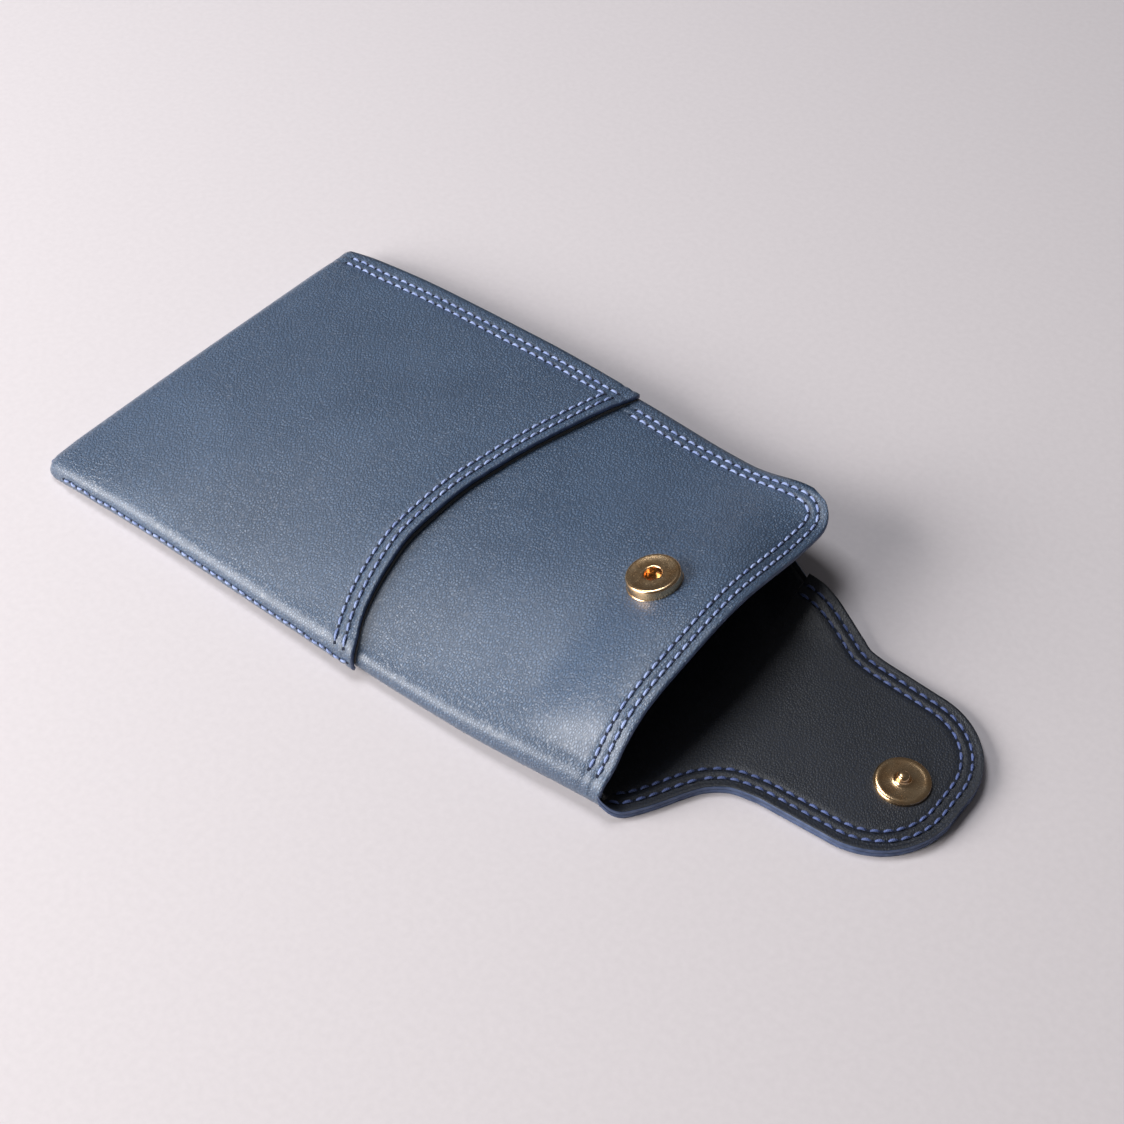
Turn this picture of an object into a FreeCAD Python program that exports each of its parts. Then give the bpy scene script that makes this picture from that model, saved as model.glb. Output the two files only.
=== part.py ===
import FreeCAD, Part
import math
import os
from collections import namedtuple

# A soft leather pouch for glasses, lying on its back with its mouth open and its
# flap laid out flat.  Millimetres, +Z up.  X runs from the closed bottom edge (-X)
# to the tip of the flap (+X), Y from the folded side (-Y) to the sewn side (+Y).
# The origin is the middle of the bounding box, on the table.
#
# Helper functions take "bench" measures: x from the bottom edge, y from the folded
# side, z from the table.  place() turns those into the row's frame.

# ---------------------------------------------------------------- driving sizes
FLAP_REACH = 232.0          # bottom edge to the flap's tip, laid out
POUCH_LENGTH = 168.0        # bottom edge to the front's lip
POUCH_WIDTH = 108.0
BOTTOM_RADIUS = 2.8         # turned bottom edge

LEATHER = 1.3
STIFFENER = 0.5
LINING = 0.5
WALL = LEATHER + STIFFENER + LINING
SEAM_STRIP = 1.0            # strip between front and back along the sewn side
SEAM_HEIGHT = 2 * WALL + SEAM_STRIP

# The pouch's shape at several distances from its bottom edge: where the folded side
# and the sewn side are, the fold's radius, the front's height in the middle and at
# the sewn side, and how far the back's edge has been drawn in.
Station = namedtuple("Station", "x left fold crown right right_top back_right back_top")
STATIONS = [
    Station(BOTTOM_RADIUS, 0.0, 2.8, 5.6, 108.0, 5.6, 108.0, 0.0),
    Station(35.0, 0.2, 2.9, 7.6, 108.0, 6.2, 108.0, 0.6),
    Station(70.0, 0.2, 3.1, 9.8, 107.5, 7.6, 107.5, 2.0),
    Station(104.0, 0.5, 3.4, 12.8, 106.4, 9.2, 106.4, 3.6),
    Station(130.0, 2.0, 4.0, 16.4, 104.4, 11.0, 104.4, 5.4),
    Station(147.6, 3.4, 4.6, 20.3, 102.2, 13.6, 102.2, 7.6),
    Station(POUCH_LENGTH, 5.0, 5.0, 25.2, 96.0, 19.0, 90.0, 5.0),
]
FRONT_STEEPNESS = 0.8       # under 1 moves the crown towards the folded side
BACK_LIFT = 16.0            # width of the back's margin that curves up to the seam
SEAM_END = 150.0            # the sewn side stops here, short of the mouth
SEAM_AIR = 0.15             # left on both faces of the strip
LIP_CORNER = 9.0            # radius of the front's free corner

# Slip pocket on the front.
POCKET_LEATHER = 1.2
POCKET_LINING = 0.3
POCKET_TOP = POCKET_LEATHER + POCKET_LINING
SCOOP = [(102.0, -2.0), (96.5, 12.0), (92.5, 36.0), (95.5, 66.0), (103.0, 110.0)]

# The middle of the front near the mouth, which goes down as the flap closes.
PANEL_START = 105.0
PANEL_LEFT = 22.0
PANEL_RIGHT = 84.0
PANEL_GAP = 0.5             # at its two sides
PANEL_END_GAP = 1.6         # at its inner end, which swings back a little
PANEL_PIVOT = (60.0, 22.0)  # x and height of the line it bends about
PANEL_DROP = 3.9            # degrees

# Flap: it bends up at the back's edge and again where the tab begins.
FOLD_X = 170.0
FOLD_GAP = 1.6              # bare bending line on each side of a fold
FLAP_THICK = 2.4
FOLD_Z = FLAP_THICK / 2
FLAP_LEATHER = 1.1
FLAP_STIFFENER = 0.4
NECK = (27.3, 79.7)         # the flap's sides past its shoulders
TAB_CORNER = 20.0
FIRST_FOLD = 90.0           # degrees

# Magnetic snap.
SNAP_X = 147.6
SNAP_Y = 53.0
SNAP_LEAN = 13.0            # the front's slope there, in degrees
SNAP_RADIUS = 6.5
SOCKET_HEIGHT = 3.2
SOCKET_HOLE = 2.3
SNAP_SHEET = 0.5            # thickness of the cap, the plates and the washers
STUD_PLATE = 1.0
STUD_DEPTH = FLAP_THICK - FLAP_LEATHER - SNAP_SHEET     # facing above the stud's washer
POST_HEIGHT = 2.0
POST_RADII = (2.0, 1.4)
SNAP_AIR = 0.3              # left between the two halves when shut
PRONG = (3.0, 0.5)          # width and thickness
PRONG_PLACE = 3.6           # from the snap's middle
WASHER_RADIUS = 5.7
WASHER_HOLE = 1.5

# Stitching.
THREAD = 0.5
THREAD_PROUD = 0.3
THREAD_LIFT = 0.06          # keeps a straight row out of the leather it follows
ROWS = (3.0, 6.0)           # from the edge to each of the two rows

TALL = 60.0                 # taller than anything here
SHAVING = 0.02              # shaved off the back's outer face, to make it truly flat


# ---------------------------------------------------------------- small helpers
def place(x, y, z=0.0):
    return FreeCAD.Vector(x - FLAP_REACH / 2, y - POUCH_WIDTH / 2, z)


def mix(a, b, t):
    return a + (b - a) * t


def spline(points):
    curve = Part.BSplineCurve()
    curve.interpolate(points)
    return curve.toShape()


def line(a, b):
    return Part.LineSegment(a, b).toShape()


def arc(a, b, c):
    return Part.Arc(a, b, c).toShape()


def closed(edge, other):
    """Two edges that run opposite ways, joined by straight ends."""
    first = edge.valueAt(edge.LastParameter)
    second = other.valueAt(other.FirstParameter)
    third = other.valueAt(other.LastParameter)
    fourth = edge.valueAt(edge.FirstParameter)
    return Part.Wire([edge, line(first, second), other, line(third, fourth)])


def upright(edges, low=-TALL, high=TALL):
    """A straight-sided block over a plan outline."""
    face = Part.Face(Part.Wire(Part.__sortEdges__(edges)))
    face.translate(FreeCAD.Vector(0, 0, low))
    return face.extrude(FreeCAD.Vector(0, 0, high - low))


def block(x0, x1, y0, y1):
    """A plan rectangle as a tall block."""
    corner = place(x0, y0, -TALL)
    return Part.makeBox(x1 - x0, y1 - y0, 2 * TALL, corner)


def save(name, shape):
    shape.exportStep("parts/" + name + ".step")
    print(name, shape.isValid(), len(shape.Solids), round(shape.Volume, 1))


# ---------------------------------------------------------------- pouch surfaces
def front_height(s, y):
    """Height of the front's outer face: an arch, fuller towards the folded side."""
    start = s.left + s.fold
    t = min(max((y - start) / (s.right - start), 0.0), 1.0)
    rise = s.crown - (2 * s.fold + s.right_top) / 2
    return mix(2 * s.fold, s.right_top, t) + rise * math.sin(math.pi * t ** FRONT_STEEPNESS)


def front_sheet(low, high, left=None, right=None, across=8):
    """One layer of the front, between two offsets from its outer face."""
    left = left or (lambda s: s.left + s.fold)
    right = right or (lambda s: s.right)
    wires = []
    for s in STATIONS:
        ys = [mix(left(s), right(s), i / across) for i in range(across + 1)]
        top = [place(s.x, y, front_height(s, y) + high) for y in ys]
        under = [place(s.x, y, front_height(s, y) + low) for y in reversed(ys)]
        wires.append(closed(spline(top), spline(under)))
    return Part.makeLoft(wires, True)


def back_line(s, z, backwards):
    """The back's section at one height: flat, then curving up to the sewn side."""
    start = place(s.x, s.left + s.fold, z)
    turn = place(s.x, s.back_right - BACK_LIFT, z)
    middle = place(s.x, s.back_right - BACK_LIFT / 2, z + s.back_top / 4)
    end = place(s.x, s.back_right, z + s.back_top)
    flat = line(start, turn)
    rising = Part.BSplineCurve()
    rising.interpolate([turn, middle, end])
    pair = [flat, rising.toShape()]
    return (pair[::-1] if backwards else pair), start, end


def back_sheet(low, high):
    """One layer of the back, between two heights above the table."""
    wires = []
    for s in STATIONS:
        under, under_start, under_end = back_line(s, low, False)
        top, top_start, top_end = back_line(s, high, True)
        edges = under + [line(under_end, top_end)] + top + [line(top_start, under_start)]
        wires.append(Part.Wire(edges))
    return Part.makeLoft(wires, True)


def fold_sheet(outer, inner):
    """One layer of the folded side, between two depths below its outer face."""
    wires = []
    for s in STATIONS:
        middle = s.left + s.fold
        edges = []
        for depth, sign in ((outer, 1), (inner, -1)):
            r = s.fold - depth
            low = place(s.x, middle, s.fold - r)
            side = place(s.x, middle - r, s.fold)
            high = place(s.x, middle, s.fold + r)
            edges.append(arc(low, side, high) if sign > 0 else arc(high, side, low))
        wires.append(closed(*edges))
    return Part.makeLoft(wires, True)


# ---------------------------------------------------------------- plan outlines
def scoop_edge(back, backwards=False):
    """The pocket's scooped edge, moved back towards the bottom."""
    points = [place(x - back, y) for x, y in SCOOP]
    return spline(points[::-1] if backwards else points)


def pocket_plan():
    start = place(0, SCOOP[0][1])
    end = place(0, SCOOP[-1][1])
    return upright(closed(scoop_edge(0), line(end, start)).Edges)


def scoop_row(back):
    return upright(closed(scoop_edge(back), scoop_edge(back + THREAD, True)).Edges)


def lip_plan():
    """The whole front seen from above, with its free corner rounded."""
    r = LIP_CORNER
    right = STATIONS[-1].right
    a = place(POUCH_LENGTH, right - r)
    b = place(POUCH_LENGTH - r * 0.25, right - r * 0.22)
    c = place(POUCH_LENGTH - r, right + r * 0.3)
    corner = arc(a, b, c)
    rest = [place(SEAM_END, POUCH_WIDTH + 2), place(0, POUCH_WIDTH + 2), place(0, -2),
            place(POUCH_LENGTH, -2), a]
    edges = [corner, line(c, rest[0])]
    edges += [line(p, q) for p, q in zip(rest, rest[1:])]
    return upright(edges)


def panel_plan(side, end):
    """The moving middle of the front, with a gap at its sides and at its inner end."""
    return block(PANEL_START + end, POUCH_LENGTH + 1, PANEL_LEFT + side, PANEL_RIGHT - side)


def bridge_sides():
    """The flap's two shoulders, from the first fold to the second."""
    start = FOLD_X + FOLD_GAP
    end = FOLD_X + BRIDGE - FOLD_GAP
    left = [(start, 6.5), (178.3, 15.5), (182.2, 24.5), (end, NECK[0])]
    right = [(start, 89.6), (177.5, 88.4), (183.0, 86.3), (188.0, 82.6), (end, NECK[1])]
    return left, right


def bridge_plan():
    left, right = bridge_sides()
    first = spline([place(x, y) for x, y in left])
    second = spline([place(x, y) for x, y in reversed(right)])
    return Part.Face(closed(first, second))


def bridge_row(side, inward, row):
    """A band beside one shoulder, moved in from it on the diagonal."""
    step = math.sqrt(0.5)
    lines = []
    for shift in (row, row + THREAD):
        lines.append([place(x - shift * step, y + inward * shift * step) for x, y in side])
    return Part.Face(closed(spline(lines[0]), spline(lines[1][::-1])))


def tab_plan(inset=0.0):
    """The flap's tab, with two large round corners."""
    start = FOLD_X + BRIDGE + FOLD_GAP
    r = TAB_CORNER
    diagonal = r * (1 - math.sqrt(0.5))
    bend = FLAP_REACH - r
    left, right = NECK[0] + 1, NECK[1] - 1
    a, b = place(start, NECK[0]), place(bend, left)
    c = place(FLAP_REACH - diagonal, left + diagonal)
    d, e = place(FLAP_REACH, left + r), place(FLAP_REACH, right - r)
    f = place(FLAP_REACH - diagonal, right - diagonal)
    g, h = place(bend, right), place(start, NECK[1])
    return inset_face([line(a, b), arc(b, c, d), line(d, e), arc(e, f, g), line(g, h), line(h, a)],
                      inset)


def inset_face(edges, inset):
    face = Part.Face(Part.Wire(Part.__sortEdges__(edges)))
    if not inset:
        return face
    return face.makeOffset2D(-inset)


def slab(face, low, high):
    moved = face.copy()
    moved.translate(FreeCAD.Vector(0, 0, low))
    return moved.extrude(FreeCAD.Vector(0, 0, high - low))


# ---------------------------------------------------------------- where the flap shuts
def turned(x, z, centre, degrees):
    """A point in the XZ plane turned from +X towards +Z about a centre."""
    a = math.radians(degrees)
    dx, dz = x - centre[0], z - centre[1]
    return (centre[0] + dx * math.cos(a) - dz * math.sin(a),
            centre[1] + dx * math.sin(a) + dz * math.cos(a))


def snap_seat():
    """Where the socket sits on the front: its height at the snap's middle."""
    station = next(s for s in STATIONS if s.x == SNAP_X)
    return front_height(station, SNAP_Y)


SHUT_LEAN = SNAP_LEAN - PANEL_DROP
SECOND_FOLD = 180 + SHUT_LEAN - FIRST_FOLD


def shut_plane():
    """Back of the stud's plate when shut, as a point in the XZ plane."""
    lean = math.radians(SNAP_LEAN)
    height = SOCKET_HEIGHT + SNAP_AIR + STUD_PLATE
    x = SNAP_X - height * math.sin(lean)
    z = snap_seat() + height * math.cos(lean)
    return turned(x, z, PANEL_PIVOT, -PANEL_DROP)


def bridge_length():
    """The distance between the folds that lets the tab lie flat on the snap."""
    x, z = shut_plane()
    lean = math.radians(SHUT_LEAN)
    along = (FOLD_X - x) * math.sin(lean) + (z - FOLD_Z) * math.cos(lean)
    return (along + FLAP_THICK - FOLD_Z) / math.cos(lean)


BRIDGE = bridge_length()


def stud_place():
    """How far past the second fold the stud's middle is."""
    x, z = shut_plane()
    lean = math.radians(SHUT_LEAN)
    return (FOLD_X - x) * math.cos(lean) + (FOLD_Z + BRIDGE - z) * math.sin(lean)


STUD_X = FOLD_X + BRIDGE + stud_place()


# ---------------------------------------------------------------- snap
def disc(radius, low, high):
    return Part.makeCylinder(radius, high - low, FreeCAD.Vector(0, 0, low))


def prongs(length):
    """Two flat legs that go down through the leather."""
    legs = []
    for side in (-1, 1):
        corner = FreeCAD.Vector(side * PRONG_PLACE - PRONG[1] / 2, -PRONG[0] / 2, -length)
        legs.append(Part.makeBox(PRONG[1], PRONG[0], length, corner))
    return legs


def on_front(shape):
    """Puts a snap piece on the front, leaning with it."""
    moved = shape.copy()
    lean = FreeCAD.Rotation(FreeCAD.Vector(0, 1, 0), -SNAP_LEAN)
    moved.Placement = FreeCAD.Placement(place(SNAP_X, SNAP_Y, snap_seat() - 0.1), lean)
    return moved


def on_tab(shape):
    moved = shape.copy()
    moved.Placement = FreeCAD.Placement(place(STUD_X, SNAP_Y, FLAP_THICK), FreeCAD.Rotation())
    return moved


def socket_cap():
    body = disc(SNAP_RADIUS, 0, SOCKET_HEIGHT)
    rim = [e for e in body.Edges if abs(e.CenterOfMass.z - SOCKET_HEIGHT) < 0.01]
    body = body.makeFillet(0.9, rim[:1])
    room = disc(SNAP_RADIUS - SNAP_SHEET, 0, SOCKET_HEIGHT - SNAP_SHEET)
    room = room.makeFillet(0.5, [e for e in room.Edges
                                 if abs(e.CenterOfMass.z - room.BoundBox.ZMax) < 0.01][:1])
    return body.cut(room).cut(disc(SOCKET_HOLE, 0, SOCKET_HEIGHT))


def socket_plate():
    plate = disc(SNAP_RADIUS - SNAP_SHEET, 0, SNAP_SHEET)
    return plate.fuse(prongs(LEATHER + SNAP_SHEET))


def socket_magnet():
    ring = disc(SNAP_RADIUS - SNAP_SHEET - 0.1, SNAP_SHEET, SOCKET_HEIGHT - SNAP_SHEET - 0.6)
    return ring.cut(disc(SOCKET_HOLE + 0.1, 0, SOCKET_HEIGHT))


def washer_room(depth):
    """The round space that the plate behind the leather takes up."""
    return disc(WASHER_RADIUS, -depth - SNAP_SHEET, -depth)


def washer(depth):
    """The plate behind the leather, with a slot for each leg."""
    ring = washer_room(depth).cut(disc(WASHER_HOLE, -TALL, 0))
    return ring.cut(Part.makeCompound(prongs(TALL)))


def stud_post():
    return Part.makeCone(POST_RADII[0], POST_RADII[1], POST_HEIGHT,
                         FreeCAD.Vector(0, 0, STUD_PLATE))


def stud_plate():
    return disc(SNAP_RADIUS, 0, STUD_PLATE).fuse(prongs(FLAP_THICK - FLAP_LEATHER))


# ---------------------------------------------------------------- pouch body
def build_back():
    reach = block(0, FOLD_X - FOLD_GAP, -5, 120)
    table = reach.copy()
    table.translate(FreeCAD.Vector(0, 0, -TALL))
    save("back_leather", back_sheet(-SHAVING, LEATHER).common(reach).cut(table))
    save("back_stiffener", back_sheet(LEATHER, LEATHER + STIFFENER))
    save("back_lining", back_sheet(LEATHER + STIFFENER, WALL))
    save("fold_leather", fold_sheet(0, LEATHER))
    save("fold_lining", fold_sheet(LEATHER, LEATHER + LINING))
    bottom = Part.makeCylinder(BOTTOM_RADIUS, POUCH_WIDTH, place(BOTTOM_RADIUS, 0, BOTTOM_RADIUS),
                               FreeCAD.Vector(0, 1, 0))
    save("bottom_edge", bottom.common(block(-1, BOTTOM_RADIUS, -1, POUCH_WIDTH + 1)))


def build_front():
    plan = lip_plan()
    window = panel_plan(0, 0)
    panel = panel_plan(PANEL_GAP, PANEL_END_GAP)
    seat = on_front(disc(SNAP_RADIUS + 0.1, 0, TALL))
    behind = on_front(Part.makeCompound([socket_plate(), washer_room(LEATHER)]))
    layers = (("leather", -LEATHER, 0.0), ("stiffener", -LEATHER - STIFFENER, -LEATHER),
              ("lining", -WALL, -LEATHER - STIFFENER))
    for name, low, high in layers:
        sheet = front_sheet(low, high).common(plan)
        save("front_" + name, sheet.cut(window))
        save("mouth_" + name, sheet.common(panel).cut(seat).cut(behind))


def build_pocket():
    plan = pocket_plan()
    save("pocket_lining", front_sheet(0, POCKET_LINING).common(plan))
    save("pocket_leather", front_sheet(POCKET_LINING, POCKET_TOP).common(plan))


def build_side_seam():
    strip = front_sheet(-WALL - SEAM_STRIP + SEAM_AIR, -WALL - SEAM_AIR,
                        left=lambda s: s.right - 5.0, across=2)
    save("side_seam_strip", strip.common(block(0, SEAM_END, -5, 120)))


def thread_on_front(row, base, plan):
    """One row of thread along the sewn side, at a distance from its edge."""
    base += THREAD_LIFT
    sheet = front_sheet(base, base + THREAD_PROUD, left=lambda s: s.right - row - THREAD,
                        right=lambda s: s.right - row, across=2)
    return sheet.common(plan)


def build_threads():
    pocket = block(BOTTOM_RADIUS + 2, 100, -5, 120)
    body = block(104, SEAM_END, -5, 120)
    rows = [thread_on_front(row, POCKET_TOP, pocket) for row in ROWS]
    rows += [thread_on_front(row, 0.0, body) for row in ROWS]
    save("side_seam_threads", Part.makeCompound(rows))

    over_pocket = front_sheet(POCKET_TOP, POCKET_TOP + THREAD_PROUD)
    inside = block(0, FLAP_REACH, 10, POUCH_WIDTH - 10)
    rows = [over_pocket.common(scoop_row(row)).common(inside) for row in ROWS]
    save("pocket_scoop_threads", Part.makeCompound(rows))
    save("pocket_side_threads", over_pocket.common(block(8, 92, 3.8, 3.8 + THREAD)))

    over_lip = front_sheet(0.0, THREAD_PROUD)
    rows = [over_lip.common(block(POUCH_LENGTH - row - THREAD, POUCH_LENGTH - row,
                                  PANEL_LEFT + 1, PANEL_RIGHT - 1)) for row in ROWS]
    save("mouth_threads", Part.makeCompound(rows))


# ---------------------------------------------------------------- flap
def tab_rows(x_from):
    """Two rows of thread that follow the tab's edge on its inner face."""
    rows = []
    for row in ROWS:
        ring = slab(tab_plan(row), FLAP_THICK, FLAP_THICK + THREAD_PROUD)
        ring = ring.cut(slab(tab_plan(row + THREAD), FLAP_THICK - 1, FLAP_THICK + 1))
        rows += ring.common(block(x_from, FLAP_REACH, -5, 120)).Solids
    return Part.makeCompound(rows)


def bridge_rows():
    """Two rows of thread beside each shoulder."""
    reach = block(FOLD_X + FOLD_GAP, FOLD_X + BRIDGE - FOLD_GAP, -5, 120)
    rows = []
    for side, inward in zip(bridge_sides(), (1, -1)):
        for row in ROWS:
            band = slab(bridge_row(side, inward, row), FLAP_THICK, FLAP_THICK + THREAD_PROUD)
            rows += band.common(reach).Solids
    return Part.makeCompound(rows)


def build_flap():
    top = FLAP_LEATHER + FLAP_STIFFENER
    save("bridge_leather", slab(bridge_plan(), 0, top))
    save("bridge_facing", slab(bridge_plan(), top, FLAP_THICK))
    save("bridge_threads", bridge_rows())
    behind = on_tab(Part.makeCompound([stud_plate(), washer_room(STUD_DEPTH)]))
    save("tab_leather", slab(tab_plan(), 0, FLAP_LEATHER).cut(behind))
    save("tab_stiffener", slab(tab_plan(7.0), FLAP_LEATHER, top).cut(behind))
    save("tab_facing", slab(tab_plan(), top, FLAP_THICK).cut(behind))
    save("tab_threads", tab_rows(FOLD_X + BRIDGE + FOLD_GAP + ROWS[1] + 2))


def build_snap():
    save("snap_socket_cap", on_front(socket_cap()))
    save("snap_socket_plate", on_front(socket_plate()))
    save("snap_magnet", on_front(socket_magnet()))
    save("snap_socket_washer", on_front(washer(LEATHER)))
    save("snap_stud_plate", on_tab(stud_plate()))
    save("snap_stud_post", on_tab(stud_post()))
    save("snap_stud_washer", on_tab(washer(STUD_DEPTH)))


os.makedirs("parts", exist_ok=True)
build_back()
build_front()
build_pocket()
build_side_seam()
build_threads()
build_flap()
build_snap()
print("bridge", round(BRIDGE, 3), "second fold", SECOND_FOLD, "stud x", round(STUD_X, 2))
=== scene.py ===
import math

import bmesh
import bpy
import numpy as np
from mathutils import Euler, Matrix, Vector


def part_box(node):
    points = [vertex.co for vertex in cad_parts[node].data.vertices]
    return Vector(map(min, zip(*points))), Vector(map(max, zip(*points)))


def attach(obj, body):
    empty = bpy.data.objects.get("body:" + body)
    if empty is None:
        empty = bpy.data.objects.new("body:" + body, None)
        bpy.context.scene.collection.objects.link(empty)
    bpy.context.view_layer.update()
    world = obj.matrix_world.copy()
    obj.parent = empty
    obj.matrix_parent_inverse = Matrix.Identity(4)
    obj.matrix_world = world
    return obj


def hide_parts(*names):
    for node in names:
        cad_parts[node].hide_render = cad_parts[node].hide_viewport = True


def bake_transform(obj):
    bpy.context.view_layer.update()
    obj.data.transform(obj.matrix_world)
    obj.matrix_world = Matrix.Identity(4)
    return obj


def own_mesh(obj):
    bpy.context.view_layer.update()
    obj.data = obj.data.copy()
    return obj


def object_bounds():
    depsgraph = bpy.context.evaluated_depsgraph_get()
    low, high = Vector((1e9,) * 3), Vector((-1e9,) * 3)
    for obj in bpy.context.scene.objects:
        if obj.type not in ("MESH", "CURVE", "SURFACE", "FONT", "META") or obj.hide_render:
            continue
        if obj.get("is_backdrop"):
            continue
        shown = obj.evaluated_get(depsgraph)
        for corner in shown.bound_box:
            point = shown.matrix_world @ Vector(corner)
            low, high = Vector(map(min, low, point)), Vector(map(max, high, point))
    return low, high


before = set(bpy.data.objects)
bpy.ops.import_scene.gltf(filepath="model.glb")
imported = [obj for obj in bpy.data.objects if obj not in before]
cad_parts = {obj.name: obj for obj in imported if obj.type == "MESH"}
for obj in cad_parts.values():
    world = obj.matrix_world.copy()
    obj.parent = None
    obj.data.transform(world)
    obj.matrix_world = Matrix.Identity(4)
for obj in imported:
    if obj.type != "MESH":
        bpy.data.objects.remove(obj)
cad_low, cad_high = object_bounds()

# A soft leather pouch for glasses on its back: mouth open, flap laid out flat.
# Everything is worked out on the bench in millimetres: x from the closed bottom edge,
# y from the folded side, z from the table.  row() turns that into the frame's metres.
MM = 0.001
BENCH = np.array([cad_low.x, cad_low.y, 0.0])

# ---------------------------------------------------------------- sizes of the pouch
LENGTH = 168.0                  # bottom edge to the lip
REACH = 230.3                   # bottom edge to the flap's tip
LEATHER = 1.3
WALL = 2.3                      # leather, board and lining
EDGE_ROUND = 2.8                # radius of the turned bottom edge
CLOSED_AT, CLOSED_RISE = 1.8, 1.0     # height of the bottom crease, corners and middle
BODY_START = 0.7                # the slip pocket's leather wraps the body's own edge
CORNER = 2.6                    # radius of the two bottom corners, seen from above
SKEW = 4.4                      # the bottom edge reaches this much further at the fold
SKEW_CURVE = 1.4                # over 1 keeps that to the corner by the fold
SKEW_ENDS = 90.0                # and it has faded out here
LIP_CORNER = 9.0                # radius of the front's free corner
BACK_MARGIN = 16.0              # width of the back's edge that lifts towards the seam
SEAM_END = 150.0                # the sewn side stops here
POCKET_LEATHER = 1.2
POCKET_AIR = 0.3                # between the slip pocket and the front
TABLE_GAP = 0.02                # soft pieces lie at least this far above the table

# Distances along the pouch, and there: where the folded side is, the fold's radius,
# the front's height in the middle, the sewn side's place and height, and the back's.
ALONG = [0.0, 12.0, 35.0, 70.0, 104.0, 130.0, 147.6, 158.0, 168.0]
LEFT = [2.0, 2.2, 2.8, 2.6, 2.3, 2.8, 4.0, 5.0, 5.8]
FOLD = [1.3, 2.3, 2.9, 3.1, 3.4, 4.0, 4.6, 4.8, 5.0]
CROWN = [5.4, 7.2, 8.8, 10.4, 13.0, 16.8, 20.3, 22.8, 25.2]
RIGHT = [108.0, 109.2, 110.2, 109.8, 107.6, 104.8, 102.6, 101.6, 99.8]
RIGHT_TOP = [4.8, 6.2, 7.4, 8.8, 10.2, 11.8, 14.6, 17.4, 19.7]
BACK_RIGHT = [108.0, 109.2, 110.2, 109.6, 107.4, 104.6, 101.6, 93.0, 88.0]
BACK_TOP = [0.0, 0.6, 1.6, 3.0, 4.4, 6.0, 7.4, 5.6, 4.2]
FULLNESS = 0.8                  # under 1 moves the crown towards the folded side

# The lip's height across the mouth, from the fold to the sewn side.
LIP_ACROSS = [0.0, 0.06, 0.14, 0.22, 0.31, 0.39, 0.45, 0.52, 0.61, 0.71, 0.80, 0.90, 1.0]
LIP_HEIGHT = [10.4, 16.8, 21.0, 22.5, 23.3, 24.0, 24.3, 24.1, 22.9, 20.8, 19.1, 18.2, 19.5]
LIP_FROM = 140.0                # the lip's own shape grows in from here

# The slip pocket's scooped edge: x at several y.
SCOOP_Y = [-4.0, 3.0, 12.0, 24.0, 36.0, 50.0, 66.0, 88.0, 110.0]
SCOOP_X = [103.0, 100.0, 95.2, 91.4, 89.4, 89.8, 92.2, 97.2, 103.2]
SCOOP_LEVEL = 97.0              # the scoop's widths are taken across the front here

# The flap's outline past the back's edge: left side, then the tab, then right side.
NECK = (30.0, 79.7)
TAB_CORNER = 20.0
TAB_BEND = REACH - TAB_CORNER
LEFT_SHOULDER = [(168.0, 5.8), (170.2, 6.6), (172.6, 8.2), (175.4, 11.8), (178.0, 16.2),
                 (180.4, 20.8), (183.4, 25.3), (188.0, 28.6), (193.9, 30.0)]
RIGHT_SHOULDER = [(168.0, 88.0), (172.0, 87.9), (176.5, 87.1), (182.0, 85.0),
                  (187.5, 82.2), (191.2, 80.2), (195.0, 79.6)]
FLAP_SPLIT = 181.0              # halfway between the two folds
FLAP_THICK = 2.4
FLAP_LEATHER = 1.25

# Snap.
SNAP_X, SNAP_Y = 147.6, 53.0
SNAP_LEAN = 13.0
SNAP_DIMPLE = 0.75              # the pressed snap pulls the leather in round it
DIMPLE_RADIUS = 8.5
CAP_SHIFT = (-0.1, 0.3, 0.3)    # from its CAD place, so that it sits in the dimple
CAP_ROLL = 3.0

# Stitching.
ROWS = (2.4, 4.9)
PITCH = 2.9
POCKET_PITCH = 2.3
THREAD = 0.70
POCKET_THREAD = 0.60
HOLE = 0.44                     # radius of a needle hole
SUNK = 0.10                     # the rows sit this deep in the leather
GROOVE_DEPTH = 0.24
GROOVE_WIDTH = 0.75


def row(points):
    return points * MM + BENCH


# ---------------------------------------------------------------- number helpers
def smooth_line(xs, ys, x):
    """A curve through known points that never overshoots them."""
    xs, ys, x = (np.asarray(v, float) for v in (xs, ys, x))
    step = np.diff(xs)
    slope = np.diff(ys) / step
    m = np.concatenate([slope[:1], slope[:-1], slope[-1:]])[:len(xs)]
    both = slope[:-1] * slope[1:]
    total = slope[:-1] + slope[1:]
    m[1:-1] = np.where(both > 0, 2 * both / np.where(both > 0, total, 1.0), 0.0)
    m[0], m[-1] = slope[0], slope[-1]
    i = np.clip(np.searchsorted(xs, x) - 1, 0, len(step) - 1)
    t = np.clip((x - xs[i]) / step[i], 0.0, 1.0)
    h = step[i]
    return (ys[i] * (1 + 2 * t) * (1 - t) ** 2 + m[i] * h * t * (1 - t) ** 2
            + ys[i + 1] * t * t * (3 - 2 * t) + m[i + 1] * h * t * t * (t - 1))


def ease(t):
    t = np.clip(t, 0.0, 1.0)
    return t * t * (3 - 2 * t)


def unit(v):
    return v / np.maximum(np.linalg.norm(v, axis=-1, keepdims=True), 1e-12)


def far_along(line):
    """The distance along a flat line at each of its points."""
    return np.concatenate([[0], np.cumsum(np.linalg.norm(np.diff(line, axis=0), axis=1))])


def at_distances(line, places):
    """The line's points at given distances along it."""
    return np.stack([np.interp(places, far_along(line), line[:, k]) for k in (0, 1)], 1)


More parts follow.
